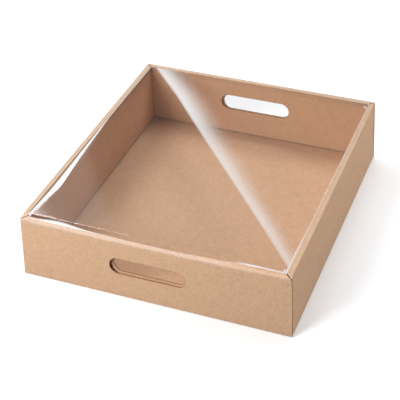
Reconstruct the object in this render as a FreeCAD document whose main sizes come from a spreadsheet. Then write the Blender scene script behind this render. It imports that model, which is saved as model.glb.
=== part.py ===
"""A tray box folded from one sheet of corrugated board, with a clear film sealed over its opening.

Frame: millimetres, +Z up, +X to the right along the front wall, +Y to the back.
The origin is the middle of the floor's underside.
"""
import FreeCAD, Part
import math
import os
import Sketcher

SIZES = (
    ("outer_width", 320, "floor's width, between the outer faces of the long walls"),
    ("outer_depth", 362, "floor's length, between the outer faces of the end walls"),
    ("outer_height", 82, "floor's underside to the top of the rim"),
    ("board", 1.6, "thickness of the board"),
    ("tab_play", 0.5, "room each side of a corner tab, between the two panels of an end wall"),
    ("wall_lean", 4.2, "how far a long wall leans in at the rim"),
    ("foot_step", 1.8, "how far the foot of a long wall's inner panel stands in from the rim"),
    ("bottom_fold", 3, "outer radius of the folds round the floor"),
    ("rim_fold", 1.2, "outer radius of the creases along the rim"),
    ("foot_gap", 0.3, "gap under the inner panels, which stand loose on the floor"),
    ("mitre_gap", 0.9, "gap between two rims where they meet at a corner"),
    ("corner_gap", 0.6, "gap between two inner panels at an inside corner"),
    ("seam_mouth", 1.4, "width of the rounded mouth of the seam at an outside corner"),
    ("tab_length", 62, "corner tab, from the outside corner to its free end"),
    ("tab_taper", 8, "how much a corner tab narrows at its free end, above and below"),
    ("tab_margin", 3, "clear height above and below a corner tab at its fold"),
    ("slot_length", 91, "hand slot, end to end"),
    ("slot_height", 21.8, "hand slot, bottom to top"),
    ("front_slot_level", 44, "height of the front slot's middle"),
    ("back_slot_level", 47, "height of the back slot's middle"),
    ("front_slot_shift", -4.8, "front slot's middle, to the right of the tray's middle"),
    ("back_slot_shift", -2, "back slot's middle, to the right of the tray's middle"),
    ("film_gauge", 0.3, "thickness of the film, drawn thicker than the real one"),
    ("film_drop", 2.4, "rim's top to the film's top"),
    ("film_margin", 5, "height of the film's edge, turned down and sealed to the inner panels"),
)

# Values that follow from the sizes, as expressions for the sketches and features.
TOP = "sizes.outer_height"
BOARD = "sizes.board"
HALF_WIDTH = "sizes.outer_width / 2"
HALF_DEPTH = "sizes.outer_depth / 2"
CAVITY = "(sizes.board + 2 * sizes.tab_play)"
RIM = f"({CAVITY} + 2 * sizes.board)"
RIM_OUT_X = f"({HALF_WIDTH} - sizes.wall_lean)"
RIM_IN_X = f"({RIM_OUT_X} - {RIM})"
RIM_IN_Y = f"({HALF_DEPTH} - {RIM})"
FOOT_X = f"({RIM_IN_X} - sizes.foot_step)"
CEILING = f"({TOP} - {BOARD})"
TAB_OUT_Y = f"({HALF_DEPTH} - {BOARD} - sizes.tab_play)"

# Signs for the two sides and the two ends. A sketch on XZ has its normal along -Y, on YZ along +X.
RIGHT, LEFT = "1", "-1"
BACK, FRONT = "1", "-1"

QUARTER_TURN = math.pi / 2
SAME_HEIGHT = 1e-6


def outer_face(level):
    """Half width of the leaning outer faces at a height."""
    return f"({HALF_WIDTH} - sizes.wall_lean * {level} / {TOP})"


def inner_face(level):
    """Half width between the long walls' inner panels at a height."""
    return f"({FOOT_X} + sizes.foot_step * ({level} - {BOARD}) / {CEILING})"


def fill_sheet(doc):
    """Puts the driving sizes in a spreadsheet, each with its alias."""
    sheet = doc.addObject("Spreadsheet::Sheet", "sizes")
    for row, (alias, value, note) in enumerate(SIZES, start=1):
        sheet.set(f"A{row}", alias)
        sheet.set(f"B{row}", str(value))
        sheet.set(f"C{row}", note)
        sheet.setAlias(f"B{row}", alias)
    doc.recompute()
    return sheet


def new_sketch(body, name, plane, level="0"):
    """A sketch on one of the body's own origin planes, moved along the plane's normal."""
    sketch = body.newObject("Sketcher::SketchObject", name)
    support = next(item for item in body.Origin.OriginFeatures if item.Role == plane)
    sketch.AttachmentSupport = [(support, "")]
    sketch.MapMode = "FlatFace"
    sketch.setExpression(".AttachmentOffset.Base.z", level)
    return sketch


def pin(sketch, edge, end, point):
    """Fixes a point of a sketch edge at expressions for its two coordinates."""
    for kind, value in zip(("DistanceX", "DistanceY"), point):
        at = sketch.evalExpression(value)
        index = sketch.addConstraint(Sketcher.Constraint(kind, -1, 1, edge, end, float(at)))
        sketch.setExpression(f"Constraints[{index}]", value)


def outline(sketch, points):
    """A closed outline of straight edges through the points, which are pairs of expressions."""
    corners = [FreeCAD.Vector(*(float(sketch.evalExpression(value)) for value in point), 0)
               for point in points]
    first = sketch.GeometryCount
    for start, end in zip(corners, corners[1:] + corners[:1]):
        sketch.addGeometry(Part.LineSegment(start, end), False)
    for number, point in enumerate(points):
        before = first + (number - 1) % len(points)
        sketch.addConstraint(Sketcher.Constraint("Coincident", before, 2, first + number, 1))
        pin(sketch, first + number, 1, point)


def rectangle(sketch, low, high):
    """A closed rectangle between two opposite corners."""
    outline(sketch, (low, (high[0], low[1]), high, (low[0], high[1])))


def stadium(sketch, middle, level, length, height):
    """A slot outline with round ends."""
    radius = f"({height} / 2)"
    ends = [(f"({middle} + {side} * ({length} / 2 - {radius}))", level) for side in (RIGHT, LEFT)]
    up = FreeCAD.Vector(0, 0, 1)
    for (x, y), start in zip(ends, (-QUARTER_TURN, QUARTER_TURN)):
        centre = FreeCAD.Vector(float(sketch.evalExpression(x)), float(sketch.evalExpression(y)), 0)
        circle = Part.Circle(centre, up, float(sketch.evalExpression(radius)))
        arc = sketch.addGeometry(Part.ArcOfCircle(circle, start, start + 2 * QUARTER_TURN), False)
        pin(sketch, arc, 3, (x, y))
        index = sketch.addConstraint(Sketcher.Constraint("Radius", arc, circle.Radius))
        sketch.setExpression(f"Constraints[{index}]", radius)
    for arc, other in ((0, 1), (1, 0)):
        line = Part.LineSegment(sketch.getPoint(arc, 2), sketch.getPoint(other, 1))
        edge = sketch.addGeometry(line, False)
        sketch.addConstraint(Sketcher.Constraint("Tangent", arc, 2, edge, 1))
        sketch.addConstraint(Sketcher.Constraint("Tangent", edge, 2, other, 1))


def add(body, sketch, length, both_ways=False, backwards=False):
    """Pads the sketch and checks that the body grew."""
    return extrude(body, "PartDesign::Pad", sketch, length, both_ways, backwards)


def cut(body, sketch, length, both_ways=False, backwards=False, direction=None):
    """Pockets the sketch and checks that the body shrank."""
    return extrude(body, "PartDesign::Pocket", sketch, length, both_ways, backwards, direction)


def extrude(body, kind, sketch, length, both_ways, backwards, direction=None):
    """Adds a pad or a pocket. direction holds expressions for a slanted one's vector."""
    before = body.Shape.Volume if body.Tip else 0
    feature = body.newObject(kind, f"{sketch.Name}_{kind.split('::')[1].lower()}")
    feature.Profile = sketch
    feature.SideType = "Symmetric" if both_ways else "One side"
    feature.Reversed = backwards
    feature.setExpression("Length", length)
    if direction:
        feature.UseCustomVector = True
        for axis, value in zip("xyz", direction):
            feature.setExpression(f"Direction.{axis}", value)
    sketch.Visibility = False
    body.Document.recompute()
    growth = body.Shape.Volume - before
    if growth == 0 or (growth > 0) != kind.endswith("Pad"):
        raise RuntimeError(f"{feature.Name} changed the volume by {growth:.3f} mm3")
    return feature


def round_edges(body, name, radius, wanted):
    """Rounds the edges of the body's tip for which wanted(edge) is true."""
    tip = body.Tip
    names = [f"Edge{number}" for number, edge in enumerate(tip.Shape.Edges, start=1) if wanted(edge)]
    feature = body.newObject("PartDesign::Fillet", name)
    feature.Base = (tip, names)
    feature.setExpression("Radius", radius)
    body.Document.recompute()


def lies_at(height):
    """A test for edges that lie level at a height."""
    def test(edge):
        box = edge.BoundBox
        return max(abs(box.ZMin - height), abs(box.ZMax - height)) < SAME_HEIGHT
    return test


def shell(body, height):
    """The box form: the outside with its leaning long walls, and the space inside it."""
    outside = new_sketch(body, "outside", "XZ_Plane")
    outline(outside, (
        (f"-{HALF_WIDTH}", "0"),
        (HALF_WIDTH, "0"),
        (RIM_OUT_X, TOP),
        (f"-{RIM_OUT_X}", TOP),
    ))
    add(body, outside, f"2 * {HALF_DEPTH}", both_ways=True)
    round_edges(body, "floor_folds", "sizes.bottom_fold", lies_at(0))
    inside = new_sketch(body, "inside", "XZ_Plane")
    outline(inside, (
        (f"-{FOOT_X}", BOARD),
        (FOOT_X, BOARD),
        (RIM_IN_X, TOP),
        (f"-{RIM_IN_X}", TOP),
    ))
    cut(body, inside, f"2 * {RIM_IN_Y}", both_ways=True)
    round_edges(body, "rim_creases", "sizes.rim_fold", lies_at(height))


def double_walls(body):
    """Hollows the four walls, which leaves an outer panel, a rim and an inner panel on each."""
    sides = new_sketch(body, "side_hollows", "XZ_Plane")
    for side in (RIGHT, LEFT):
        outline(sides, (
            (f"{side} * ({inner_face(BOARD)} + {BOARD})", BOARD),
            (f"{side} * ({outer_face(BOARD)} - {BOARD})", BOARD),
            (f"{side} * ({outer_face(CEILING)} - {BOARD})", CEILING),
            (f"{side} * ({inner_face(CEILING)} + {BOARD})", CEILING),
        ))
    cut(body, sides, f"2 * ({HALF_DEPTH} - {BOARD})", both_ways=True)
    ends = new_sketch(body, "end_hollows", "YZ_Plane")
    for end in (BACK, FRONT):
        rectangle(ends, (f"{end} * ({RIM_IN_Y} + {BOARD})", BOARD),
                  (f"{end} * ({HALF_DEPTH} - {BOARD})", CEILING))
    cut(body, ends, f"2 * ({RIM_OUT_X} - {BOARD})", both_ways=True)


def corner_tabs(body):
    """The tabs at the ends of the long walls, folded in between the end walls' panels."""
    low = f"({BOARD} + sizes.tab_margin)"
    high = f"({CEILING} - sizes.tab_margin)"
    for end, name in ((BACK, "back_tabs"), (FRONT, "front_tabs")):
        tabs = new_sketch(body, name, "XZ_Plane", f"-1 * {end} * {TAB_OUT_Y}")
        for side in (RIGHT, LEFT):
            free_end = f"{side} * ({HALF_WIDTH} - sizes.tab_length)"
            outline(tabs, (
                (f"{side} * ({outer_face(low)} - {BOARD} / 2)", low),
                (f"{side} * ({outer_face(high)} - {BOARD} / 2)", high),
                (free_end, f"{high} - sizes.tab_taper"),
                (free_end, f"{low} + sizes.tab_taper"),
            ))
        add(body, tabs, BOARD, backwards=end == FRONT)


def loose_edges(body):
    """The cuts between panels that aren't joined: feet, inside corners and mitred rims."""
    feet = new_sketch(body, "feet", "XY_Plane", BOARD)
    reach_x = f"({FOOT_X} + {BOARD} + sizes.foot_gap)"
    reach_y = f"({RIM_IN_Y} + {BOARD} + sizes.foot_gap)"
    rectangle(feet, (f"-{reach_x}", f"-{reach_y}"), (reach_x, reach_y))
    cut(body, feet, "sizes.foot_gap", backwards=True)
    inside_corners = new_sketch(body, "inside_corners", "XY_Plane", BOARD)
    mitres = new_sketch(body, "mitres", "XY_Plane", TOP)
    across = "(sizes.mitre_gap / sqrt(2))"
    for side in (RIGHT, LEFT):
        for end in (BACK, FRONT):
            rectangle(inside_corners, (
                f"{side} * ({FOOT_X} - sizes.corner_gap)",
                f"{end} * ({RIM_IN_Y} - sizes.corner_gap)",
            ), (
                f"{side} * ({RIM_IN_X} + {BOARD} + sizes.foot_gap)",
                f"{end} * {RIM_IN_Y}",
            ))
            outline(mitres, [
                (
                    f"{side} * ({RIM_OUT_X} + {along} + {shift})",
                    f"{end} * ({HALF_DEPTH} + {along} - {shift})",
                )
                for along, shift in (
                    (across, f"{across} / 2"),
                    (across, f"-{across} / 2"),
                    (f"-{RIM} - {across}", f"-{across} / 2"),
                    (f"-{RIM} - {across}", f"{across} / 2"),
                )
            ])
    cut(body, inside_corners, f"{CEILING} - {BOARD}", backwards=True)
    cut(body, mitres, BOARD)


def corner_seams(body):
    """The seams at the outside corners, where a long wall's end turns in behind an end panel."""
    bottom = "sizes.bottom_fold"
    for side, name in ((RIGHT, "right_seams"), (LEFT, "left_seams")):
        seams = new_sketch(body, name, "XY_Plane", bottom)
        face = outer_face(bottom)
        for end in (BACK, FRONT):
            outline(seams, (
                (f"{side} * ({face} - 2 * {BOARD})", f"{end} * ({HALF_DEPTH} - {BOARD})"),
                (f"{side} * ({face} + {BOARD})", f"{end} * ({HALF_DEPTH} - {BOARD})"),
                (f"{side} * ({face} + {BOARD})", f"{end} * ({TAB_OUT_Y} - sizes.seam_mouth)"),
                (f"{side} * {face}", f"{end} * ({TAB_OUT_Y} - sizes.seam_mouth)"),
                (f"{side} * ({face} - {BOARD} / 2)", f"{end} * {TAB_OUT_Y}"),
                (f"{side} * ({face} - 2 * {BOARD})", f"{end} * {TAB_OUT_Y}"),
            ))
        cut(body, seams, f"{TOP} - {bottom}", backwards=True,
            direction=(f"{side} * sizes.wall_lean", "0", f"-1 * {TOP}"))


def hand_slots(body):
    """A hand slot with round ends through both panels of each end wall."""
    for name, end in (("front_slot", FRONT), ("back_slot", BACK)):
        slot = new_sketch(body, name, "XZ_Plane", f"-1 * {end} * {RIM_IN_Y}")
        stadium(slot, f"sizes.{name}_shift", f"sizes.{name}_level", "sizes.slot_length", "sizes.slot_height")
        cut(body, slot, RIM, backwards=end == FRONT)


def make_tray(doc, height):
    """The board: floor, double walls, corner tabs and hand slots, all one folded sheet."""
    body = doc.addObject("PartDesign::Body", "tray")
    body.Label = "tray"
    shell(body, height)
    double_walls(body)
    corner_tabs(body)
    loose_edges(body)
    corner_seams(body)
    hand_slots(body)
    return body


def make_film(doc):
    """The film: a sheet across the opening, its edge turned down against the inner panels."""
    body = doc.addObject("PartDesign::Body", "film_cover")
    body.Label = "film_cover"
    top = f"({TOP} - sizes.film_drop)"
    under = f"({top} - sizes.film_gauge)"
    hem = f"({top} - sizes.film_margin)"
    for name, high, inset in (("sheet", top, "0"), ("underside", under, "sizes.film_gauge")):
        sketch = new_sketch(body, name, "XZ_Plane")
        outline(sketch, (
            (f"-({inner_face(hem)} - {inset})", hem),
            (f"{inner_face(hem)} - {inset}", hem),
            (f"{inner_face(high)} - {inset}", high),
            (f"-({inner_face(high)} - {inset})", high),
        ))
        make = add if name == "sheet" else cut
        make(body, sketch, f"2 * ({RIM_IN_Y} - {inset})", both_ways=True)
    return body


def check(doc, parts):
    """Stops if a feature failed or a part isn't one valid solid."""
    failed = [item.Name for item in doc.Objects if {"Invalid", "Error"} & set(item.State)]
    if failed:
        raise RuntimeError(f"failed: {', '.join(failed)}")
    for part in parts:
        shape = part.Shape
        if shape.isNull() or not shape.isValid() or len(shape.Solids) != 1:
            raise RuntimeError(f"{part.Label} isn't one valid solid")


def main():
    """Builds the document, checks it and writes each part's STEP file."""
    doc = FreeCAD.newDocument("tray_box")
    sheet = fill_sheet(doc)
    parts = [make_tray(doc, sheet.outer_height), make_film(doc)]
    doc.recompute()
    check(doc, parts)
    os.makedirs("parts", exist_ok=True)
    for part in parts:
        part.Shape.exportStep(f"parts/{part.Label}.step")
        box = part.Shape.BoundBox
        extents = f"{box.XLength:.1f} x {box.YLength:.1f} x {box.ZLength:.1f} mm"
        print(f"{part.Label}: {part.Shape.Volume:.1f} mm3 in {extents}")


main()
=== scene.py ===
"""The looks of a tray box folded from kraft board, with a clear film sealed over its opening."""
import math

import bmesh
import bpy
from bpy.props import FloatProperty, FloatVectorProperty, PointerProperty
from mathutils import Matrix, Vector, noise


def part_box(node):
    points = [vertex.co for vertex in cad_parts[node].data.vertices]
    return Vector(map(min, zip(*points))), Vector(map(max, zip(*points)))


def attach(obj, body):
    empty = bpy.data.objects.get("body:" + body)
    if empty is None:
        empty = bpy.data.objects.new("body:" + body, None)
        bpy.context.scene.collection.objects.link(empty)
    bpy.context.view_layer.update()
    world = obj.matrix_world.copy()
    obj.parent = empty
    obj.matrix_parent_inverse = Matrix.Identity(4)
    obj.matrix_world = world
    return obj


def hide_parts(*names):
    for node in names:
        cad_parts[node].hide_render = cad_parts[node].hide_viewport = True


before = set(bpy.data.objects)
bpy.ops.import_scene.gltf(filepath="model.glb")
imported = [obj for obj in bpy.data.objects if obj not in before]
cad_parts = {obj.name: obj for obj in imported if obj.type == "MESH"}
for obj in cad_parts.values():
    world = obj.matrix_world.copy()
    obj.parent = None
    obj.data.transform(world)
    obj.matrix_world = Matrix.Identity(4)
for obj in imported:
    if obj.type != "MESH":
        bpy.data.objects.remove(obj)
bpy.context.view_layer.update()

bl_info = {
    "name": "Kraft Tray Box",
    "version": (1, 0, 0),
    "blender": (4, 5, 0),
    "location": "View3D > Sidebar > Tray Box",
    "description": "Folds a kraft board tray with hand slots and stretches a clear film over it",
    "category": "Object",
}

TRAY_LOW, TRAY_HIGH = (Vector(corner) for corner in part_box("tray"))
FILM_LOW, FILM_HIGH = (Vector(corner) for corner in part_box("film_cover"))
MM = 0.001
FRONT, RIGHT, BACK, LEFT = "front", "right", "back", "left"
UP = Vector((0, 0, 1))
# A surface counts as upright where its normal's Z is smaller than this.
UPRIGHT = 0.3


def linear(hex_colour):
    """Turns an sRGB hex colour into linear red, green and blue."""
    def channel(text):
        value = int(text, 16) / 255
        return value / 12.92 if value <= 0.04045 else ((value + 0.055) / 1.055) ** 2.4
    return tuple(channel(hex_colour[at:at + 2]) for at in (1, 3, 5))


def length(name, description, metres):
    """A length in metres for a property group."""
    return FloatProperty(name=name, description=description, default=metres, unit="LENGTH",
                         subtype="DISTANCE", precision=5)


def colour(name, description, hex_colour):
    """A colour for a property group."""
    return FloatVectorProperty(name=name, description=description, default=linear(hex_colour),
                               subtype="COLOR", size=3, min=0, max=1)


class BoardSettings(bpy.types.PropertyGroup):
    """Sizes and colours of the folded board."""
    thickness: length("Thickness", "Thickness of the board", 1.6 * MM)
    rim: length("Rim", "Width of the flat rim", 5.8 * MM)
    rim_dip: length("Rim dip", "How far the rim sinks between its two creases", 0.25 * MM)
    lean: length("Lean", "How far a long wall leans in at the rim", 4.04 * MM)
    foot_step: length("Foot step", "How far a long wall's inner panel stands in at its foot", 1.8 * MM)
    bottom_fold: length("Bottom fold", "Outer radius of the folds round the floor", 1.2 * MM)
    rim_fold: length("Rim fold", "Outer radius of the creases along the rim", 0.7 * MM)
    corner_fold: length("Corner fold", "Outer radius of the fold at a corner tab", 2.0 * MM)
    tab_play: length("Tab play", "Room between a corner tab and the end panel over it", 0.8 * MM)
    tab: length("Tab", "Length of a corner tab", 58 * MM)
    tab_margin: length("Tab margin", "Least height of a tab over the floor and depth under the rim", 5 * MM)
    foot_gap: length("Foot gap", "Least gap between an inner panel's foot and the floor", 1.3 * MM)
    foot_wave: length("Foot wave", "How much the feet's cut line wanders", 0.5 * MM)
    mitre_gap: length("Mitre gap", "Gap between two rims at a corner", 0.9 * MM)
    bow: length("Bow", "How far the panels bow inwards", 0.2 * MM)
    slot_length: length("Slot length", "Length of a hand slot", 91 * MM)
    slot_height: length("Slot height", "Height of a hand slot", 21.8 * MM)
    front_level: length("Front slot level", "Height of the front slot's middle", 44 * MM)
    back_level: length("Back slot level", "Height of the back slot's middle", 47 * MM)
    slot_shift: length("Slot shift", "How much higher the hole in an inner panel is", 1.0 * MM)
    front_slip: length("Front slip", "How much shorter the inner hole is at the front slot's left", 3.6 * MM)
    back_slip: length("Back slip", "How much longer the inner hole is at the back slot's left", 2.2 * MM)
    front_slot: length("Front slot", "Front slot's middle, to the right", -4.8 * MM)
    back_slot: length("Back slot", "Back slot's middle, to the right", -1.2 * MM)
    kraft: colour("Kraft", "Colour of the liners", "#D6AF8E")
    # Painted highlight: the next colour draws the front wall's top and its rim's outer part paler, above the
    # height after it.
    highlit: colour("Highlit kraft", "Colour of the rubbed front rim", "#D8BAA5")
    # Painted shade: this colour draws the rims darker, most on the left and at the back.
    shaded_rim: colour("Shaded rim kraft", "Colour of the rims on the left and at the back", "#C8AA92")
    highlight_start: length("Highlight start", "Height above which the front wall is rubbed pale", 74.5 * MM)
    # The two cut-edge colours are the board's own, darkened as painted shade for the hand slots' lips.
    shaded_cut_liner: colour("Cut liner", "Paler colour of a cut edge", "#AF8865")
    shaded_flute: colour("Flute", "Dark colour between the flutes of a cut edge", "#7A573A")
    flute_pitch: length("Flute pitch", "Distance from one flute to the next", 3.2 * MM)
    cloud: length("Cloud", "Size of the pulp's soft clouds", 10 * MM)
    fleck: length("Fleck", "Size of the fibre flecks", 2.5 * MM)


class FilmSettings(bpy.types.PropertyGroup):
    """Sizes and looks of the clear film."""
    gauge: length("Gauge", "Thickness of the film", 0.06 * MM)
    level: length("Level", "Height of the film's top", 81.8 * MM)
    hem: length("Hem", "Width of the strip that is sealed to the inner panels", 5 * MM)
    turn: length("Turn", "How far under the film's level its edge has turned upright", 1.0 * MM)
    crease_depth: length("Crease depth", "How far the film sinks at its long crease", 0.6 * MM)
    crease_near: length("Crease near side", "How fast the film rises behind its crease", 9 * MM)
    crease_far: length("Crease far side", "How fast the film rises in front of its crease", 40 * MM)
    haze: FloatProperty(name="Haze", description="Share of light that the flat film scatters", default=0.018,
                        min=0, max=1, subtype="FACTOR")
    tint: colour("Tint", "Colour of the film's sheen", "#E9EDEF")


class StageSettings(bpy.types.PropertyGroup):
    """The camera, the lamps, the sky and the floor."""
    camera_azimuth: FloatProperty(name="Azimuth", description="Camera's direction from the front",
                                  default=math.radians(21.841), subtype="ANGLE", unit="ROTATION")
    camera_elevation: FloatProperty(name="Elevation", description="Camera's height as an angle",
                                    default=math.radians(36.402), subtype="ANGLE", unit="ROTATION")
    camera_roll: FloatProperty(name="Roll", description="Camera's tilt about its own axis",
                               default=math.radians(-1.572), subtype="ANGLE", unit="ROTATION")
    camera_distance: length("Distance", "Camera to the point it looks at", 1.4902)
    lens: FloatProperty(name="Lens", description="Focal length in millimetres", default=99.63)
    floor: colour("Floor", "Colour of the floor", "#FAFCFF")
    bounce: colour("Bounce", "Colour of the light that the floor throws back on to the tray", "#898989")
    glow: colour("Glow", "Colour of the floor's own glow", "#FBFDFF")
    glow_near: FloatProperty(name="Near glow", description="Strength of the floor's glow by the tray",
                             default=0.25, min=0)
    glow_far: FloatProperty(name="Far glow", description="Strength of the floor's glow far from the tray",
                            default=1.1, min=0)
    glow_start: length("Glow start", "Distance from the tray's middle where the glow starts to rise", 0.55)
    glow_end: length("Glow end", "Distance from the tray's middle where the glow is full", 1.1)
    sky: FloatProperty(name="Sky", description="Strength of the light from all round", default=0.07, min=0)
    lamp_distance: length("Lamp distance", "Distance of every lamp from the tray's middle", 1.6)


# A point on the camera's axis, near the tray.
CAMERA_TARGET = Vector((-0.05409, 0.10112, -0.06671))
# A Mix node's sockets for its two colours, and the one for their mix.
COLOUR_A, COLOUR_B, MIXED = 6, 7, 2


def node(tree, kind, inputs=None, **settings):
    """Adds a node, sets it up, and gives its sockets values or links."""
    made = tree.nodes.new(kind)
    for name, value in settings.items():
        setattr(made, name, value)
    for socket, value in (inputs or {}).items():
        if isinstance(value, bpy.types.NodeSocket):
            tree.links.new(value, made.inputs[socket])
        else:
            made.inputs[socket].default_value = value
    return made


def new_material(name):
    """An empty node material and its tree."""
    material = bpy.data.materials.new(name)
    material.use_nodes = True
    material.node_tree.nodes.clear()
    return material, material.node_tree


def opaque(values):
    """A colour with full alpha, for a shader's socket."""
    return (*values, 1)


def kraft_liner(board):
    """Brown kraft liner, uncoated: matt, with soft clouds in the pulp and fine fibre flecks.

    The rims are painted darker as painted shade, most on the left and at the back. The top of the front wall
    and its rim's outer part are painted paler as a painted highlight that fades to the right.
    """
    material, tree = new_material("kraft liner board")
    place = node(tree, "ShaderNodeTexCoord").outputs["Object"]
    # Real clouds and fibres are finer. They are drawn this coarse so that they show.
    clouds = node(tree, "ShaderNodeTexNoise", {"Vector": place, "Scale": 1 / board.cloud, "Detail": 3})
    flecks = node(tree, "ShaderNodeTexNoise", {
        "Vector": place,
        "Scale": 1 / board.fleck,
        "Detail": 3,
        "Roughness": 0.7,
    })
    split = node(tree, "ShaderNodeSeparateXYZ", {"Vector": place})
    across, along, height = (split.outputs[axis] for axis in "XYZ")
    # Each row: name, what it reads, between which two values of that it changes, and its values there.
    masks = {}
    for name, source, start, end, first, last in (
        ("cloud", clouds.outputs["Fac"], 0.3, 0.7, -0.03, 0.03),
        ("fleck", flecks.outputs["Fac"], 0.3, 0.7, 0.9, 1.1),
        ("rub height", height, board.highlight_start, board.highlight_start + 2.5 * MM, 0, 0.9),
        ("front side", along, TRAY_LOW.y + 7 * MM, TRAY_LOW.y + 4.5 * MM, 0, 1),
        ("fade to the right", across, 50 * MM, 120 * MM, 1, 0.35),
        ("rim height", height, TRAY_HIGH.z - 1.2 * MM, TRAY_HIGH.z - 0.5 * MM, 0, 1),
        ("left rim", across, -140 * MM, -148 * MM, 0, 1),
        ("front to back", along, -120 * MM, 150 * MM, 0.5, 1),
    ):
        mask = node(tree, "ShaderNodeMapRange", {
            "Value": source,
            "From Min": start,
            "From Max": end,
            "To Min": first,
            "To Max": last,
        })
        masks[name] = mask.outputs[0]
    shade = node(tree, "ShaderNodeMath", {0: masks["cloud"], 1: masks["fleck"]}, operation="ADD")
    # Painted highlight: the front wall's top and its rim's outer part are drawn paler, less so to the right.
    rim_highlight = node(tree, "ShaderNodeMath", {0: masks["rub height"], 1: masks["front side"]},
                   operation="MULTIPLY")
    highlight_share = node(tree, "ShaderNodeMath", {0: rim_highlight.outputs[0], 1: masks["fade to the right"]},
               operation="MULTIPLY")
    # Painted shade: the rims are drawn darker, half as much at the front as on the left and at the back.
    far_rims = node(tree, "ShaderNodeMath", {0: masks["left rim"], 1: masks["front to back"]},
                    operation="MAXIMUM")
    rim_shade_share = node(tree, "ShaderNodeMath", {0: far_rims.outputs[0], 1: masks["rim height"]},
                    operation="MULTIPLY")
    rim_shade_mixed = node(tree, "ShaderNodeMix", {
        0: rim_shade_share.outputs[0],
        COLOUR_A: opaque(board.kraft),
        COLOUR_B: opaque(board.shaded_rim),
    }, data_type="RGBA")
    base = node(tree, "ShaderNodeMix", {
        0: highlight_share.outputs[0],
        COLOUR_A: rim_shade_mixed.outputs[MIXED],
        COLOUR_B: opaque(board.highlit),
    }, data_type="RGBA")
    tint = node(tree, "ShaderNodeVectorMath", {0: base.outputs[MIXED], "Scale": shade.outputs[0]},
                operation="SCALE")
    bump = node(tree, "ShaderNodeBump", {
        "Height": flecks.outputs["Fac"],
        "Strength": 0.15,
        "Distance": 0.1 * MM,
    })
    surface = node(tree, "ShaderNodeBsdfPrincipled", {
        "Base Color": tint.outputs[0],
        "Roughness": 0.75,
        "Specular IOR Level": 0.3,
        "Normal": bump.outputs[0],
    })
    node(tree, "ShaderNodeOutputMaterial", {"Surface": surface.outputs[0]})
    return material


def fluted_edge(board):
    """Cut edge of fine-fluted board: matt, with pale liners and dark gaps between the flutes, in turn, in
    colours darkened as painted shade for the hand slots' lips.

    The flutes are drawn coarser than real ones, so that they show. Their phase puts a dark flute at the
    front right corner, painted shade in the seam there.
    """
    material, tree = new_material("cut edge of fluted board")
    place = node(tree, "ShaderNodeTexCoord").outputs["Object"]
    split = node(tree, "ShaderNodeSeparateXYZ", {"Vector": place})
    # Along X and Y, so that the front right corner's upright cut edge falls on a dark flute: painted shade
    # in the seam there.
    along = node(tree, "ShaderNodeMath", {0: split.outputs["X"], 1: split.outputs["Y"]}, operation="ADD")
    phase = node(tree, "ShaderNodeMath", {0: along.outputs[0], 1: 2 * math.pi / board.flute_pitch},
                 operation="MULTIPLY")
    wave = node(tree, "ShaderNodeMath", {0: phase.outputs[0]}, operation="COSINE")
    share = node(tree, "ShaderNodeMapRange", {"Value": wave.outputs[0], "From Min": -1, "From Max": 1})
    shade = node(tree, "ShaderNodeMix", {
        0: share.outputs[0],
        COLOUR_A: opaque(board.shaded_flute),
        COLOUR_B: opaque(board.shaded_cut_liner),
    }, data_type="RGBA")
    surface = node(tree, "ShaderNodeBsdfPrincipled", {
        "Base Color": shade.outputs[MIXED],
        "Roughness": 0.9,
        "Specular IOR Level": 0.2,
    })
    node(tree, "ShaderNodeOutputMaterial", {"Surface": surface.outputs[0]})
    return material


# Vertices closer together than this are one.
SAME_PLACE = 0.02 * MM
# A cut goes through a vertex that is this close to it: a cut through the board, and the film's crease.
TRIM_SNAP, CREASE_SNAP = 0.001 * MM, 0.01 * MM
# A vertex of the film lies on its crease when it is this close to it.
ON_CREASE = 0.05 * MM


def verts_in(geometry):
    """The vertices in an operator's result."""
    return [item for item in geometry if isinstance(item, bmesh.types.BMVert)]


def edges_in(geometry):
    """The edges in an operator's result."""
    return [item for item in geometry if isinstance(item, bmesh.types.BMEdge)]


def run(bm, tip, step):
    """Extends a path from its last vertex by a straight step, and returns the new last one."""
    tip = bmesh.ops.extrude_vert_indiv(bm, verts=[tip])["verts"][0]
    tip.co += step
    return tip


def bend(bm, tip, centre, angle, steps):
    """Extends a path from its last vertex round an arc, from straight out towards up and back."""
    made = bmesh.ops.spin(bm, geom=[tip], cent=centre, axis=(0, -1, 0), angle=angle, steps=steps,
                          use_duplicate=False)
    return verts_in(made["geom_last"])[0]


def sweep(bm, edges, stops):
    """Sweeps edges along Y through the stops, which start where the edges lie."""
    for start, stop in zip(stops, stops[1:]):
        edges = edges_in(bmesh.ops.extrude_edge_only(bm, edges=edges)["geom"])
        bmesh.ops.translate(bm, vec=(0, stop - start, 0), verts=list({v for e in edges for v in e.verts}))


def trim(bm, point, normal):
    """Cuts away all of the mesh on the far side of a plane."""
    everything = bm.verts[:] + bm.edges[:] + bm.faces[:]
    bmesh.ops.bisect_plane(bm, geom=everything, plane_co=point, plane_no=normal, clear_outer=True,
                           dist=TRIM_SNAP)


def tangent_lean(dx, dz, gain):
    """The lean of a straight panel that runs over (dx, dz) between two folds.

    gain is the first fold's radius less the second one's.
    """
    return math.atan2(dz, dx) - math.acos(gain / math.hypot(dx, dz))


def merge(target, part, turn):
    """Adds a part's mesh to the target, turned about Z by whole quarter turns."""
    part.transform(Matrix.Rotation(turn, 4, "Z"))
    mesh = bpy.data.meshes.new("part")
    part.to_mesh(mesh)
    part.free()
    target.from_mesh(mesh)
    bpy.data.meshes.remove(mesh)


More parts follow.
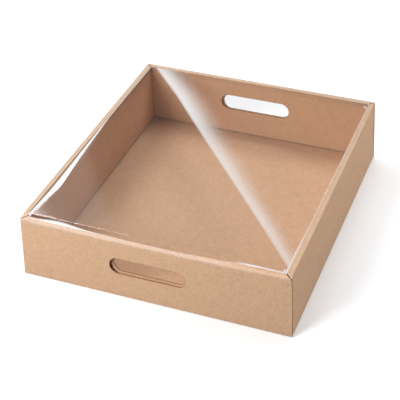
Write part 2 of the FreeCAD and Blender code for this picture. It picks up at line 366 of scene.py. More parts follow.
class Wall:
    """Sizes of one wall, as seen with the wall on the right: X outwards, Y along it.

    low, out and back are the centres of its folds at the floor and on both sides of the rim.
    """

    def __init__(self, board, half, lean, foot_step, corner_half):
        self.board = board
        self.half = half
        self.rim_out = half - lean
        self.rim_in = self.rim_out - board.rim
        self.foot = self.rim_in - foot_step
        self.corner = corner_half
        radius, crease = board.bottom_fold, board.rim_fold
        self.low = Vector((half - radius, 0, radius))
        self.out = Vector((self.rim_out - crease, 0, TRAY_HIGH.z - crease))
        self.back = Vector((self.rim_in + crease, 0, TRAY_HIGH.z - crease))
        reach = self.out - self.low
        self.lean = tangent_lean(reach.x, reach.z, radius - crease)
        self.outwards = Vector((math.cos(self.lean), 0, math.sin(self.lean)))
        self.crease_start = self.out + crease * self.outwards
        self.foot_z = board.thickness + board.foot_gap
        drop = self.back - Vector((self.foot, 0, self.foot_z))
        self.hang = -tangent_lean(drop.x, drop.z, -crease) if foot_step else 0


# Straight steps in a bottom fold, in a crease or a corner's fold, and across a rim.
BOTTOM_STEPS, CREASE_STEPS, RIM_STEPS = 6, 4, 6


def run_to(bm, tip, end, levels):
    """Extends a path straight to its end, with a vertex at each of the levels that it passes."""
    start = tip.co.copy()
    for level in [*levels, end.z]:
        share = (level - start.z) / (end.z - start.z)
        tip = run(bm, tip, start.lerp(end, share) - tip.co)


def outer_part(wall, stops, levels):
    """The bottom fold and the outer panel."""
    bm = bmesh.new()
    start = Vector((0, stops[0], 0))
    tip = bm.verts.new(wall.low + start - Vector((0, 0, wall.low.z)))
    tip = bend(bm, tip, wall.low + start, math.pi / 2 + wall.lean, BOTTOM_STEPS)
    run_to(bm, tip, wall.crease_start + start, levels)
    sweep(bm, bm.edges[:], stops)
    return bm


def rim_part(wall, stops):
    """The rim between its two creases, with the creases."""
    bm = bmesh.new()
    start = Vector((0, stops[0], 0))
    tip = bm.verts.new(wall.crease_start + start)
    tip = bend(bm, tip, wall.out + start, math.pi / 2 - wall.lean, CREASE_STEPS)
    flat = (wall.back - wall.out) / RIM_STEPS
    for number in range(1, RIM_STEPS + 1):
        tip = run(bm, tip, flat)
        share = number / RIM_STEPS
        tip.co.z = TRAY_HIGH.z - wall.board.rim_dip * 4 * share * (1 - share)
    bend(bm, tip, wall.back + start, math.pi / 2 - wall.hang, CREASE_STEPS)
    sweep(bm, bm.edges[:], stops)
    return bm


def inner_part(wall, stops, levels):
    """The inner panel, down to its foot on the floor."""
    bm = bmesh.new()
    start = Vector((0, stops[0], 0))
    side = Vector((-math.cos(wall.hang), 0, math.sin(wall.hang)))
    tip = bm.verts.new(wall.back + start + wall.board.rim_fold * side)
    run_to(bm, tip, Vector((wall.foot, stops[0], wall.foot_z)), levels[::-1])
    sweep(bm, bm.edges[:], stops)
    return bm


# Width of the strip round a hand slot whose faces are replaced, and corners in the slot's outline.
SLOT_RING = 5 * MM
SLOT_CORNERS = 64
# Lines across a side wall and an end wall, besides those at its own cuts.
SIDE_LINES, END_LINES = 60, 54


def punch(bm, x, middle, slot_long, slot_high, field_level, level):
    """Cuts a hand slot with round ends through an upright panel, and joins its edge to the panel.

    The faces of the field round it are replaced. The field's middle is at field_level and the
    slot's at level, a little apart, so that the field keeps to the panel's own lines.
    """
    low = Vector((middle - slot_long / 2 - SLOT_RING, field_level - slot_high / 2 - SLOT_RING))
    high = Vector((middle + slot_long / 2 + SLOT_RING, field_level + slot_high / 2 + SLOT_RING))
    centres = {face: face.calc_center_median() for face in bm.faces}
    inside = [face for face, at in centres.items() if low.x < at.y < high.x and low.y < at.z < high.y]
    inner_edges = {edge for face in inside for edge in face.edges}
    outer_edges = {edge for face in set(bm.faces) - set(inside) for edge in face.edges}
    field_edges = [edge for edge in bm.edges if edge in inner_edges and edge in outer_edges]
    bmesh.ops.delete(bm, geom=inside, context="FACES")
    radius = slot_high / 2
    made = bmesh.ops.create_circle(bm, segments=SLOT_CORNERS, radius=radius,
                                   matrix=Matrix.Rotation(math.pi / SLOT_CORNERS, 4, "Z"))["verts"]
    for vert in made:
        across = math.copysign(slot_long / 2 - radius, vert.co.x)
        vert.co = Vector((x, middle + vert.co.x + across, level + vert.co.y))
    slot_edges = list({edge for vert in made for edge in vert.link_edges})
    bmesh.ops.triangle_fill(bm, use_beauty=True, edges=field_edges + slot_edges, normal=(1, 0, 0))


def stops_along(half, count, extra):
    """Places for a wall's cross lines: evenly over the floor's width, and the extra ones on both sides."""
    even = [half * (2 * number / count - 1) for number in range(count + 1)]
    return sorted(set(even) | {sign * value for value in extra for sign in (1, -1)})


def slot_levels(middle, rise):
    """Heights of a wall's long lines: under its slot, over it, and above it up to the rim."""
    over = middle + rise
    return [
        *(share * middle for share in (0.15, 0.35, 0.52)),
        *(middle + share * rise for share in (-1, -0.5, 0, 0.5, 1)),
        *(over + share * (TRAY_HIGH.z - over) for share in (0.3, 0.55, 0.8)),
    ]


def fold_board(board):
    """The board as one folded surface: floor, double walls, rims and corner tabs."""
    half_x, half_y = TRAY_HIGH.x, TRAY_HIGH.y
    side = Wall(board, half_x, board.lean, board.foot_step, half_y)
    end = Wall(board, half_y, 0, 0, side.rim_out)
    gap = board.mitre_gap / math.sqrt(2)
    tab_start = half_y - board.thickness - board.tab_play - board.corner_fold
    rim_end = {side: side.corner - gap, end: end.corner - gap}
    inner_end = {side: rim_end[side] - board.rim, end: rim_end[end] - board.rim}
    floor_x, floor_y = side.low.x, end.low.x
    reach = board.slot_length / 2 + SLOT_RING
    slot_ends = [sign * reach + shift for sign in (1, -1) for shift in (board.front_slot, -board.back_slot)]
    side_stops = stops_along(floor_y, SIDE_LINES, (tab_start, inner_end[side], half_y))
    end_stops = stops_along(floor_x, END_LINES, (rim_end[end], inner_end[end], half_x, *slot_ends))
    sheet = bmesh.new()

    floor = bmesh.new()
    on_floor_x = [value for value in end_stops if abs(value) <= floor_x]
    on_floor_y = [value for value in side_stops if abs(value) <= floor_y]
    tip = floor.verts.new((on_floor_x[0], on_floor_y[0], 0))
    for start, stop in zip(on_floor_x, on_floor_x[1:]):
        tip = run(floor, tip, Vector((stop - start, 0, 0)))
    sweep(floor, floor.edges[:], on_floor_y)
    merge(sheet, floor, 0)

    for name, wall, stops, turn in (
        (RIGHT, side, side_stops, 0),
        (BACK, end, end_stops, math.pi / 2),
        (LEFT, side, side_stops, math.pi),
        (FRONT, end, end_stops, -math.pi / 2),
    ):
        slot_level = board.front_level if name == FRONT else board.back_level
        levels = slot_levels(slot_level, board.slot_height / 2 + SLOT_RING)
        outer = outer_part(wall, stops, levels)
        rim = rim_part(wall, stops)
        inner = inner_part(wall, stops, levels)
        for sign in (1, -1):
            trim(rim, (wall.rim_out, sign * rim_end[wall], 0), (-1, sign, 0))
            if wall is side:
                trim(outer, (0, sign * tab_start, 0), (0, sign, 0))
                trim(inner, (0, sign * inner_end[wall], 0), (0, sign, 0))
            else:
                slope = Vector((0, sign * side.outwards.x, side.outwards.z))
                edge = side.low + board.bottom_fold * side.outwards
                trim(outer, (0, sign * edge.x, edge.z), slope)
                trim(inner, (0, sign * (side.foot + board.thickness), 0), (0, sign, 0))
        if wall is side:
            add_tabs(outer, wall, tab_start)
        else:
            middle = board.front_slot if name == FRONT else -board.back_slot
            slip = -board.front_slip if name == FRONT else board.back_slip
            for part, x, shift, longer in (
                (outer, wall.half, -board.slot_shift / 2, 0),
                (inner, wall.rim_in, board.slot_shift / 2, slip),
            ):
                punch(part, x, middle + abs(longer) / 2, board.slot_length + longer, board.slot_height,
                      slot_level, slot_level + shift)
        for part in (outer, rim, inner):
            merge(sheet, part, turn)
    bmesh.ops.remove_doubles(sheet, verts=sheet.verts[:], dist=SAME_PLACE)
    bmesh.ops.recalc_face_normals(sheet, faces=sheet.faces[:])
    lowest = min(sheet.faces, key=lambda face: face.calc_center_median().z)
    if lowest.normal.z > 0:
        bmesh.ops.reverse_faces(sheet, faces=sheet.faces[:])
    return sheet


def add_tabs(bm, wall, tab_start):
    """Turns the outer panel's two ends in, and gives them the tabs that lie inside the end walls."""
    board = wall.board
    lean_axis = Vector((-wall.outwards.z, 0, wall.outwards.x))
    tab_low, tab_high = board.tab_margin, TRAY_HIGH.z - board.tab_margin
    for sign in (1, -1):
        last = [edge for edge in bm.edges if all(
            abs(v.co.y - sign * tab_start) < SAME_PLACE and v.co.z > board.bottom_fold for v in edge.verts)]
        centre = last[0].verts[0].co - board.corner_fold * wall.outwards
        made = bmesh.ops.spin(bm, geom=last + list({v for e in last for v in e.verts}), cent=centre,
                              axis=sign * lean_axis, angle=math.pi / 2, steps=CREASE_STEPS,
                              use_duplicate=False)
        turned = [edge for edge in edges_in(made["geom_last"])
                  if all(tab_low < v.co.z < tab_high for v in edge.verts)]
        tab = edges_in(bmesh.ops.extrude_edge_only(bm, edges=turned)["geom"])
        tab_verts = list({v for e in tab for v in e.verts})
        bmesh.ops.translate(bm, vec=-board.tab * wall.outwards, verts=tab_verts)


def ripple(point, span, seed):
    """A smooth random value from -1 to 1 that changes over about span metres."""
    return noise.noise(point / span + Vector((seed, 0, 0)))


def ramp(value, start, full):
    """An even rise from 0 at start to 1 at full, which may lie on either side of it."""
    return max(0, min(1, (value - start) / (full - start)))


def between(table, place):
    """Values of a table at a place, smoothly between its rows."""
    for low, high in zip(table, table[1:]):
        if place <= high[0] or high is table[-1]:
            share = ramp(place, low[0], high[0])
            share = share * share * (3 - 2 * share)
            return [first + share * (last - first) for first, last in zip(low[1:], high[1:])]


# How far the front wall's rim has sunk, as (place along the wall, outer crease, inner crease) in mm.
FRONT_SAG = (
    (-156, 2.2, 1.0),
    (-133, 3.8, 3.4),
    (-64, 4.7, 4.0),
    (30, 4.6, 4.0),
    (75, 4.3, 2.3),
    (104, 4.0, 0.5),
    (125, 3.4, 0),
    (156, 2.6, 0),
)
# How far the right wall's rim stands out, as (place along the wall, shift) in mm.
RIGHT_SWELL = ((-181, 1.4), (-120, 1.7), (0, 1.2), (120, 0.8), (175, 0.2), (181, 0))
# The sag reaches down this far from the rim, in mm.
SAG_DEPTH = 22
# What lies farther out than these belongs to the front wall and to the right wall, in mm.
FRONT_WALL, RIGHT_WALL = -171, 145


def settle_rims(bm, board):
    """Lets the front rim sink and the right rim swell, as the photographed tray's have."""
    top, rim = TRAY_HIGH.z / MM, board.rim / MM
    front_end, right_end = -TRAY_LOW.y / MM, (TRAY_HIGH.x - board.lean) / MM
    for vert in bm.verts:
        x, y, z = vert.co / MM
        if y < FRONT_WALL:
            outer, inner = between(FRONT_SAG, x)
            rise = ramp(z, top - SAG_DEPTH, top)
            sag = inner + (outer - inner) * ramp(-y, front_end - rim, front_end)
            vert.co.z -= sag * rise * rise * MM
        if x > RIGHT_WALL:
            swell = between(RIGHT_SWELL, y)[0] * ramp(x, right_end - rim, right_end)
            vert.co.x += swell * math.sin(math.pi / 2 * ramp(z, 0, top)) * MM


# Over what length the panels' bow and the feet's cut line change, and their random seeds.
BOW_SPAN, FOOT_SPAN = 110 * MM, 30 * MM
BOW_SEED, FOOT_SEED = 3, 7


def relax_board(bm, board):
    """Bows the panels inwards a little and lets the feet's cut line wander."""
    bm.normal_update()
    for vert in bm.verts:
        if abs(vert.normal.z) < UPRIGHT:
            middle = math.sin(math.pi * ramp(vert.co.z, 0, TRAY_HIGH.z)) ** 0.5
            wave = 0.5 + 0.5 * ripple(vert.co, BOW_SPAN, BOW_SEED)
            vert.co -= vert.normal * board.bow * middle * wave
        if vert.is_boundary and abs(vert.co.z - board.thickness - board.foot_gap) < SAME_PLACE:
            vert.co.z += board.foot_wave * abs(ripple(vert.co, FOOT_SPAN, FOOT_SEED))
    settle_rims(bm, board)


def new_object(name, bm, materials=()):
    """Makes an object from a bmesh and links it to the scene."""
    mesh = bpy.data.meshes.new(name)
    bm.to_mesh(mesh)
    bm.free()
    for material in materials:
        mesh.materials.append(material)
    made = bpy.data.objects.new(name, mesh)
    bpy.context.scene.collection.objects.link(made)
    return made


def apply_modifiers(piece):
    """Replaces a piece's mesh with what its modifiers make of it."""
    graph = bpy.context.evaluated_depsgraph_get()
    finished = bpy.data.meshes.new_from_object(piece.evaluated_get(graph))
    piece.modifiers.clear()
    piece.data = finished


# Where two faces of the board meet at more than this angle, the edge shows as sharp.
SHARP_FOLD = math.radians(35)


class TRAYBOX_OT_board(bpy.types.Operator):
    """Folds the board into the tray, with its hand slots"""
    bl_idname = "traybox.board"
    bl_label = "Fold the board"

    def execute(self, context):
        board = context.scene.tray_board
        sheet = fold_board(board)
        relax_board(sheet, board)
        piece = new_object("folded_tray", sheet, (kraft_liner(board), fluted_edge(board)))
        wall = piece.modifiers.new("thickness", "SOLIDIFY")
        wall.thickness = board.thickness
        wall.offset = -1
        wall.use_rim = True
        wall.material_offset_rim = 1
        apply_modifiers(piece)
        piece.data.shade_smooth()
        piece.data.set_sharp_from_angle(angle=SHARP_FOLD)
        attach(piece, "root")
        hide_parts("tray")
        return {"FINISHED"}


# The film's long crease, from the back left corner to the front right one, in mm.
CREASE = ((-155, 190), (-86, 114), (-25, 41), (39, -34), (116, -125), (156, -174))
# Width of the crease's sharp side, where its painted sheen fades to clear film, in mm.
CREASE_SHARP = 1.5
# The painted sheen at the crease itself as a share of its peak, which lies this far behind it, in mm.
CREASE_SHARE, CREASE_PEAK = 0.6, 2.4
# How strong the painted sheen along the crease is, from its back left end to its front right one, as
# (share of its length, strength of the painted sheen, width of the feather in mm).
CREASE_SHEEN = ((0, 0.7, 19), (0.25, 0.75, 19), (0.5, 0.57, 16), (0.75, 0.53, 13), (1, 0.47, 10))
# The film is slackest here: place along the left wall and along the front one, in mm.
LEFT_SLACK, FRONT_SLACK = -113, -126
# The slack strip along the left wall: its width, its least width, its slope, how much width it
# loses in each mm towards the back and the front, and how round its widest place is, in mm.
LEFT_WIDTH, LEFT_LEAST, LEFT_SLOPE = 9.8, 1.7, 0.27
LEFT_TO_BACK, LEFT_TO_FRONT, LEFT_ROUND = 0.054, 0.15, 6
# The slack shelf along the front wall: its least width, how much wider it is where it is slackest,
# over what length, its slope, and the width of the steep strip between the shelf and the rim.
SHELF_LEAST, SHELF_MORE, SHELF_LENGTH, SHELF_SLOPE, SHELF_FALL = 2, 2.5, 24, 0.16, 3
# How the film turns down at the right and back walls, as (slope, width, softness) in mm.
RIGHT_TURN = (0.5, 1.2, 0.8)
BACK_TURN = (0.3, 1.6, 1)
# Where the film shines along the front wall: the middle of the widest part, its length, and where
# the shine starts to fade and where it ends, in mm.
SHINE_MIDDLE, SHINE_LENGTH, SHINE_FULL, SHINE_END = -112, 23, -75, -25


def beside_crease(x, y):
    """Distance from the film's crease, positive on its back right side."""
    best = None
    for start, stop in zip(CREASE, CREASE[1:]):
        first, last = Vector(start) * MM, Vector(stop) * MM
        along = (last - first).normalized()
        offset = Vector((x, y)) - first
        share = max(0, min((last - first).length, offset.dot(along)))
        away = offset - along * share
        side = math.copysign(away.length, along.x * offset.y - along.y * offset.x)
        if best is None or abs(side) < abs(best):
            best = side
    return best


def edge_stops(half, first, growth, widest):
    """Stops from -half to half that start close together at both ends and grow apart."""
    steps = [0]
    step = first
    while steps[-1] + step < half:
        steps.append(steps[-1] + step)
        step = min(widest, step * growth)
    scale = half / steps[-1]
    return [-half + value * scale for value in steps] + [half - value * scale for value in steps[-2::-1]]


def slope_down(gap, slope, reach, soft):
    """How far the film has sunk at a distance from a wall, from level at reach down an even slope."""
    bend_part = max(0, min(2 * soft, reach + soft - gap))
    return slope * (bend_part ** 2 / (4 * soft) + max(0, reach - soft - gap))


def left_slope_width(y):
    """Width of the slack strip along the left wall, in mm."""
    past = y - LEFT_SLACK
    taper = LEFT_TO_BACK if past > 0 else LEFT_TO_FRONT
    return max(LEFT_LEAST, LEFT_WIDTH - (math.hypot(past, LEFT_ROUND) - LEFT_ROUND) * taper)


def film_height(film, x, y):
    """Height of the film in metres over a point: level, with its long crease and sunk edges."""
    side = beside_crease(x, y)
    fade = film.crease_near if side > 0 else film.crease_far
    height = film.level - film.crease_depth * math.exp(-abs(side) / fade)
    x, y = x / MM, y / MM
    left, right = x - FILM_LOW.x / MM, FILM_HIGH.x / MM - x
    front, back = y - FILM_LOW.y / MM, FILM_HIGH.y / MM - y
    strip = left_slope_width(y)
    shelf = SHELF_LEAST + SHELF_MORE * math.exp(-((x - FRONT_SLACK) / SHELF_LENGTH) ** 2)
    # The film's edge stays a little under the sunk rim.
    fall = max(0.2, 0.3 + between(FRONT_SAG, x)[1] - SHELF_SLOPE * shelf)
    sink = slope_down(left, LEFT_SLOPE, strip, min(2, 0.7 * strip))
    sink += slope_down(right, *RIGHT_TURN)
    sink += slope_down(back, *BACK_TURN)
    sink += slope_down(front, SHELF_SLOPE, shelf, 1)
    sink += slope_down(front, fall / SHELF_FALL, SHELF_FALL, 1)
    return height - sink * MM


def line(gap, width):
    """A soft line along an edge, from 1 at the edge to nothing at twice its width, in mm."""
    return ramp(gap, 2 * width, width)


def painted_sheen(x, y):
    """How white the film is drawn at a point in metres: painted sheen along its crease and painted
    highlights in thin lines along its edges.
    """
    side = beside_crease(x, y) / MM
    x, y = x / MM, y / MM
    left, right = x - FILM_LOW.x / MM, FILM_HIGH.x / MM - x
    front, back = y - FILM_LOW.y / MM, FILM_HIGH.y / MM - y
    strip = left_slope_width(y) - 0.5
    front_right = ramp(y, -80, -140)
    shine = 0.3 + 1.15 * math.exp(-((x - SHINE_MIDDLE) / SHINE_LENGTH) ** 2)
    # Each of these is a painted highlight along an edge of the film.
    edge = max(
        # The slack strip along the left wall, and the thin line behind it.
        0.8 * min(ramp(left, 0.3, 0.8), ramp(left, strip, strip - 0.6)),
        0.8 * line(left, 0.8) * ramp(y, -40, 20),
        # The line along the right wall, stronger towards the front, and the one at the back right.
        (0.6 + 0.3 * front_right) * line(right, 0.6 + 0.5 * front_right),
        0.6 * line(back, 0.8) * ramp(x, 50, 110),
        # The line at the front right, and the shine along the front wall's left half.
        0.9 * line(front, 1.2) * ramp(x, 90, 110),
        0.95 * line(front, shine) * ramp(x, SHINE_END, SHINE_FULL),
    )
    first, last = Vector(CREASE[0]), Vector(CREASE[-1])
    share = (Vector((x, y)) - first).dot(last - first) / (last - first).length_squared
    peak, feather = between(CREASE_SHEEN, share)
    # The painted sheen: sharp on the crease's front left side, feathered behind it.
    if side < 0:
        crease = CREASE_SHARE * ramp(side, -CREASE_SHARP, 0)
    else:
        rise = CREASE_SHARE + (1 - CREASE_SHARE) * ramp(side, 0, CREASE_PEAK)
        crease = rise * math.exp(-(side / feather) ** 2)
    return max(edge, peak * crease)


# The vertex attribute that holds the painted sheen and highlights: how white the film is drawn.
SHEEN_ATTRIBUTE = "painted_sheen"
# Thin white rings at the corners, painted highlights of small curls of film where it is heat-shrunk: place
# and radius in mm.
CURL_GLINTS = ((147.6, -170.6, 1.7), (146.6, 165.5, 1.2), (-147.2, -172.6, 0.7))
# Half the width of a ring of painted highlight.
GLINT_EDGE = 0.45 * MM


def curl_glints(tree):
    """A socket that is 1 on the painted highlights of the film's small curls, drawn as thin white rings."""
    place = node(tree, "ShaderNodeTexCoord").outputs["Object"]
    flat = node(tree, "ShaderNodeVectorMath", {0: place, 1: (1, 1, 0)}, operation="MULTIPLY")
    rings = 0.0
    for x, y, radius in CURL_GLINTS:
        away = node(tree, "ShaderNodeVectorMath", {0: flat.outputs[0], 1: (x * MM, y * MM, 0)},
                    operation="DISTANCE")
        ring = node(tree, "ShaderNodeMath", {0: away.outputs["Value"], 1: radius * MM, 2: GLINT_EDGE},
                    operation="COMPARE")
        rings = node(tree, "ShaderNodeMath", {0: ring.outputs[0], 1: rings}, operation="MAXIMUM").outputs[0]
    return rings


def clear_film(film):
    """Clear polyolefin shrink film: glossy and nearly invisible where it lies flat, with a painted sheen and
    painted highlights in diffuse white along its crease, its edges and corners.

    The gloss and the white show on its upper side alone, so that its two sides don't add up.
    """
    material, tree = new_material("clear stretched film")
    fresnel = node(tree, "ShaderNodeFresnel", {"IOR": 1.42})
    surface = node(tree, "ShaderNodeNewGeometry")
    upper = node(tree, "ShaderNodeMath", {0: 1.0, 1: surface.outputs["Backfacing"]}, operation="SUBTRACT")
    # The hem, which is upright, is bonded to the board and has no gloss of its own.
    normal = node(tree, "ShaderNodeSeparateXYZ", {"Vector": surface.outputs["True Normal"]})
    tilt = node(tree, "ShaderNodeMath", {0: normal.outputs["Z"]}, operation="ABSOLUTE")
    unbonded = node(tree, "ShaderNodeMath", {0: tilt.outputs[0], 1: UPRIGHT}, operation="GREATER_THAN")
    # A film mirrors with both of its faces.
    doubled = node(tree, "ShaderNodeMath", {0: fresnel.outputs[0], 1: 2.0}, operation="MULTIPLY")
    gloss = node(tree, "ShaderNodeMath", {0: doubled.outputs[0], 1: unbonded.outputs[0]},
                 operation="MULTIPLY")
    share = node(tree, "ShaderNodeMath", {0: gloss.outputs[0], 1: upper.outputs[0]}, operation="MULTIPLY",
                 use_clamp=True)
    through = node(tree, "ShaderNodeBsdfTransparent", {"Color": (0.985, 0.985, 0.985, 1)})
    sheen = node(tree, "ShaderNodeBsdfAnisotropic", {"Color": (1, 1, 1, 1), "Roughness": 0.1})
    glossy = node(tree, "ShaderNodeMixShader", {
        0: share.outputs[0],
        1: through.outputs[0],
        2: sheen.outputs[0],
    })
    # Painted sheen and highlights: a diffuse white is mixed in by the vertex attribute and the corner rings.
    sheen_values = node(tree, "ShaderNodeAttribute", attribute_name=SHEEN_ATTRIBUTE)
    sheen_marks = node(tree, "ShaderNodeMath", {0: sheen_values.outputs["Fac"], 1: curl_glints(tree)}, operation="MAXIMUM")
    sheen_share = node(tree, "ShaderNodeMath", {0: sheen_marks.outputs[0], 1: upper.outputs[0]}, operation="MULTIPLY")
    white = node(tree, "ShaderNodeBsdfDiffuse", {"Color": opaque(film.tint)})
    finished = node(tree, "ShaderNodeMixShader", {
        0: sheen_share.outputs[0],
        1: glossy.outputs[0],
        2: white.outputs[0],
    })
    node(tree, "ShaderNodeOutputMaterial", {"Surface": finished.outputs[0]})
    return material


# Lines in the film's mesh: the first step in from an edge, how much each grows, and the widest.
FILM_STEP, FILM_GROWTH, FILM_WIDEST = 0.2 * MM, 1.25, 3 * MM


def film_grid():
    """A flat grid over the film's area, with close lines along its edges."""
    across = edge_stops(FILM_HIGH.x, FILM_STEP, FILM_GROWTH, FILM_WIDEST)
    along = edge_stops(FILM_HIGH.y, FILM_STEP, FILM_GROWTH, FILM_WIDEST)
    bm = bmesh.new()
    tip = bm.verts.new((across[0], along[0], 0))
    for start, stop in zip(across, across[1:]):
        tip = run(bm, tip, Vector((stop - start, 0, 0)))
    sweep(bm, bm.edges[:], along)
    return bm


def cut_crease(bm):
    """Cuts lines into the film along its crease and beside it, and makes the crease sharp."""
    for start, stop in zip(CREASE, CREASE[1:]):
        first, last = Vector((*start, 0)) * MM, Vector((*stop, 0)) * MM
        normal = (last - first).cross(UP).normalized()
        for beside in (0, CREASE_SHARP * MM):
            everything = bm.verts[:] + bm.edges[:] + bm.faces[:]
            bmesh.ops.bisect_plane(bm, geom=everything, plane_co=first + beside * normal, plane_no=normal,
                                   dist=CREASE_SNAP)
    for edge in bm.edges:
        edge.smooth = not all(abs(beside_crease(v.co.x, v.co.y)) < ON_CREASE for v in edge.verts)


def shape_film(bm, film):
    """Gives the film its height and its painted sheen and highlights, and turns its edge down into the hem.
    """
    sheen_values = bm.verts.layers.float.new(SHEEN_ATTRIBUTE)
    for vert in bm.verts:
        vert[sheen_values] = max(film.haze, painted_sheen(vert.co.x, vert.co.y))
        vert.co.z = film_height(film, vert.co.x, vert.co.y)
    rim = [edge for edge in bm.edges if edge.is_boundary]
    for level in (film.level - film.turn, FILM_LOW.z):
        rim = edges_in(bmesh.ops.extrude_edge_only(bm, edges=rim)["geom"])
        for vert in {v for e in rim for v in e.verts}:
            vert[sheen_values] = 0
            vert.co.z = min(level, vert.co.z)
    bmesh.ops.recalc_face_normals(bm, faces=bm.faces[:])
    highest = max(bm.faces, key=lambda face: face.calc_center_median().z)
    if highest.normal.z < 0:
        bmesh.ops.reverse_faces(bm, faces=bm.faces[:])
    for face in bm.faces:
        face.smooth = True


class TRAYBOX_OT_film(bpy.types.Operator):
    """Stretches the clear film over the opening and seals its hem to the inner panels"""
    bl_idname = "traybox.film"
    bl_label = "Stretch the film"

    def execute(self, context):
        film = context.scene.tray_film
        bm = film_grid()
        cut_crease(bm)
        shape_film(bm, film)
        piece = new_object("stretched_film", bm, (clear_film(film),))
        wall = piece.modifiers.new("gauge", "SOLIDIFY")
        wall.thickness = film.gauge
        wall.offset = -1
        apply_modifiers(piece)
        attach(piece, "root")
        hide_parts("film_cover")
        return {"FINISHED"}


class TRAYBOX_OT_stage(bpy.types.Operator):
    """Sets up the camera, the lamps, the sky and the pale floor"""
    bl_idname = "traybox.stage"
    bl_label = "Set the stage"

    def execute(self, context):
        stage = context.scene.tray_stage
        place_camera(stage)
        lay_floor(stage)
        hang_lamps(stage)
        paint_sky(stage)
        context.scene.view_settings.view_transform = "Standard"
        return {"FINISHED"}


def direction(azimuth, elevation):
    """Unit vector towards an azimuth, from the front to the right, and an elevation."""
    level = math.cos(elevation)
    return Vector((math.sin(azimuth) * level, -math.cos(azimuth) * level, math.sin(elevation)))


def place_camera(stage):
    """Puts the camera at the photographed viewing angle."""
    data = bpy.data.cameras.new("camera")
    data.lens = stage.lens
    camera = bpy.data.objects.new("camera", data)
    back = direction(stage.camera_azimuth, stage.camera_elevation)
    turn = back.to_track_quat("Z", "Y").to_matrix() @ Matrix.Rotation(stage.camera_roll, 3, "Z")
    camera.matrix_world = Matrix.Translation(CAMERA_TARGET + back * stage.camera_distance) @ turn.to_4x4()
    bpy.context.scene.collection.objects.link(camera)
    bpy.context.scene.camera = camera


# Half the floor's width, and its depth under the tray.
FLOOR_HALF, FLOOR_DROP = 12, 0.2 * MM


def lay_floor(stage):
    """A pale floor that shows as white and keeps the tray's shadow.

    It glows a little by the tray, so that shadows stay soft, and is plain white farther out. The
    light that it throws back on to the tray is dimmer than it looks.
    """
    material, tree = new_material("matt white floor")
    sight = node(tree, "ShaderNodeLightPath")
    mirrored = node(tree, "ShaderNodeMath", {
        0: sight.outputs["Is Camera Ray"],
        1: sight.outputs["Is Glossy Ray"],
    }, operation="MAXIMUM")
    seen = node(tree, "ShaderNodeMath", {
        0: mirrored.outputs[0],
        1: sight.outputs["Is Transmission Ray"],
    }, operation="MAXIMUM")
    matt = node(tree, "ShaderNodeBsdfDiffuse", {"Color": opaque(stage.floor)})
    place = node(tree, "ShaderNodeTexCoord").outputs["Object"]
    away = node(tree, "ShaderNodeVectorMath", {0: place}, operation="LENGTH")
    strength = node(tree, "ShaderNodeMapRange", {
        "Value": away.outputs["Value"],
        "From Min": stage.glow_start,
        "From Max": stage.glow_end,
        "To Min": stage.glow_near,
        "To Max": stage.glow_far,
    })
    glow = node(tree, "ShaderNodeEmission", {"Color": opaque(stage.glow), "Strength": strength.outputs[0]})
    bright = node(tree, "ShaderNodeAddShader", {0: matt.outputs[0], 1: glow.outputs[0]})
    dim = node(tree, "ShaderNodeBsdfDiffuse", {"Color": opaque(stage.bounce)})
    finished = node(tree, "ShaderNodeMixShader", {
        0: seen.outputs[0],
        1: dim.outputs[0],
        2: bright.outputs[0],
    })
    node(tree, "ShaderNodeOutputMaterial", {"Surface": finished.outputs[0]})
    bm = bmesh.new()
    bmesh.ops.create_grid(bm, x_segments=1, y_segments=1, size=FLOOR_HALF)
    bmesh.ops.translate(bm, vec=(0, 0, TRAY_LOW.z - FLOOR_DROP), verts=bm.verts[:])
    new_object("floor", bm, (material,))


# Lamps, which make no gloss: name, azimuth (from the front to the right) and elevation in degrees,
# width and height in metres, and radiance.
LAMPS = (
    ("front left key", 330, 31, 0.7, 0.9, 12.5),
    ("right fill", 102, 6.5, 0.9, 0.36, 10.9),
    ("back right top", 135, 63, 0.7, 0.7, 1.2),
    ("back top", 180, 63, 0.7, 0.7, 7.0),
    ("back left top", 225, 50, 0.7, 0.7, 3.0),
    ("left top", 270, 63, 0.7, 0.7, 1.0),
)
# Cards, given the same way, that only make the film's sheen.
SHEEN_CARDS = (
    ("bright card", 242, 32, 0.9, 1.4, 7.0),
    ("dim card", 234, 30, 0.9, 1.4, 0.6),
)


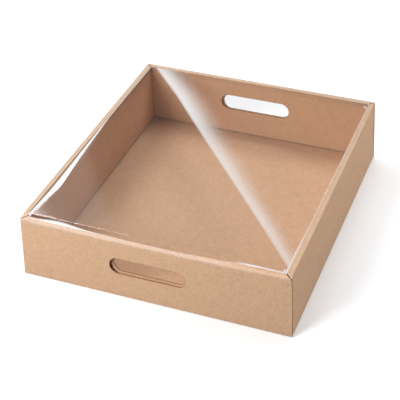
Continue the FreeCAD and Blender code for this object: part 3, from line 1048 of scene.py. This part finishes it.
def hang_lamps(stage):
    """Soft lamps and sheen cards that look at the tray."""
    for row in LAMPS + SHEEN_CARDS:
        name, azimuth, elevation, width, height, radiance = row
        data = bpy.data.lights.new(name, "AREA")
        data.shape = "RECTANGLE"
        data.size = width
        data.size_y = height
        data.energy = radiance * math.pi * width * height
        lamp = bpy.data.objects.new(name, data)
        away = direction(math.radians(azimuth), math.radians(elevation))
        turn = away.to_track_quat("Z", "Y").to_matrix().to_4x4()
        lamp.matrix_world = Matrix.Translation(away * stage.lamp_distance) @ turn
        lamp.visible_diffuse = row in LAMPS
        lamp.visible_glossy = row in SHEEN_CARDS
        bpy.context.scene.collection.objects.link(lamp)


def paint_sky(stage):
    """Plain soft light from all round, behind which the background shows white."""
    world = bpy.data.worlds.new("soft sky")
    world.use_nodes = True
    tree = world.node_tree
    tree.nodes.clear()
    sight = node(tree, "ShaderNodeLightPath").outputs["Is Camera Ray"]
    strength = node(tree, "ShaderNodeMapRange", {"Value": sight, "To Min": stage.sky, "To Max": 1.0})
    sky = node(tree, "ShaderNodeBackground", {"Color": (1, 1, 1, 1), "Strength": strength.outputs[0]})
    node(tree, "ShaderNodeOutputWorld", {"Surface": sky.outputs[0]})
    bpy.context.scene.world = world


class TRAYBOX_PT_panel(bpy.types.Panel):
    """Lists the tray box's steps and settings"""
    bl_idname = "TRAYBOX_PT_panel"
    bl_label = "Tray Box"
    bl_space_type = "VIEW_3D"
    bl_region_type = "UI"
    bl_category = "Tray Box"

    def draw(self, context):
        layout = self.layout
        for operator in (TRAYBOX_OT_stage, TRAYBOX_OT_board, TRAYBOX_OT_film):
            layout.operator(operator.bl_idname)
        for settings in (context.scene.tray_board, context.scene.tray_film, context.scene.tray_stage):
            box = layout.box()
            for name in settings.__annotations__:
                box.prop(settings, name)


CLASSES = (BoardSettings, FilmSettings, StageSettings, TRAYBOX_OT_stage, TRAYBOX_OT_board, TRAYBOX_OT_film,
           TRAYBOX_PT_panel)
SETTINGS = {"tray_board": BoardSettings, "tray_film": FilmSettings, "tray_stage": StageSettings}


def register():
    for item in CLASSES:
        bpy.utils.register_class(item)
    for name, settings in SETTINGS.items():
        setattr(bpy.types.Scene, name, PointerProperty(type=settings))


def unregister():
    for name in SETTINGS:
        delattr(bpy.types.Scene, name)
    for item in reversed(CLASSES):
        bpy.utils.unregister_class(item)


def main():
    register()
    bpy.ops.traybox.stage()
    bpy.ops.traybox.board()
    bpy.ops.traybox.film()


if __name__ == "__main__":
    main()
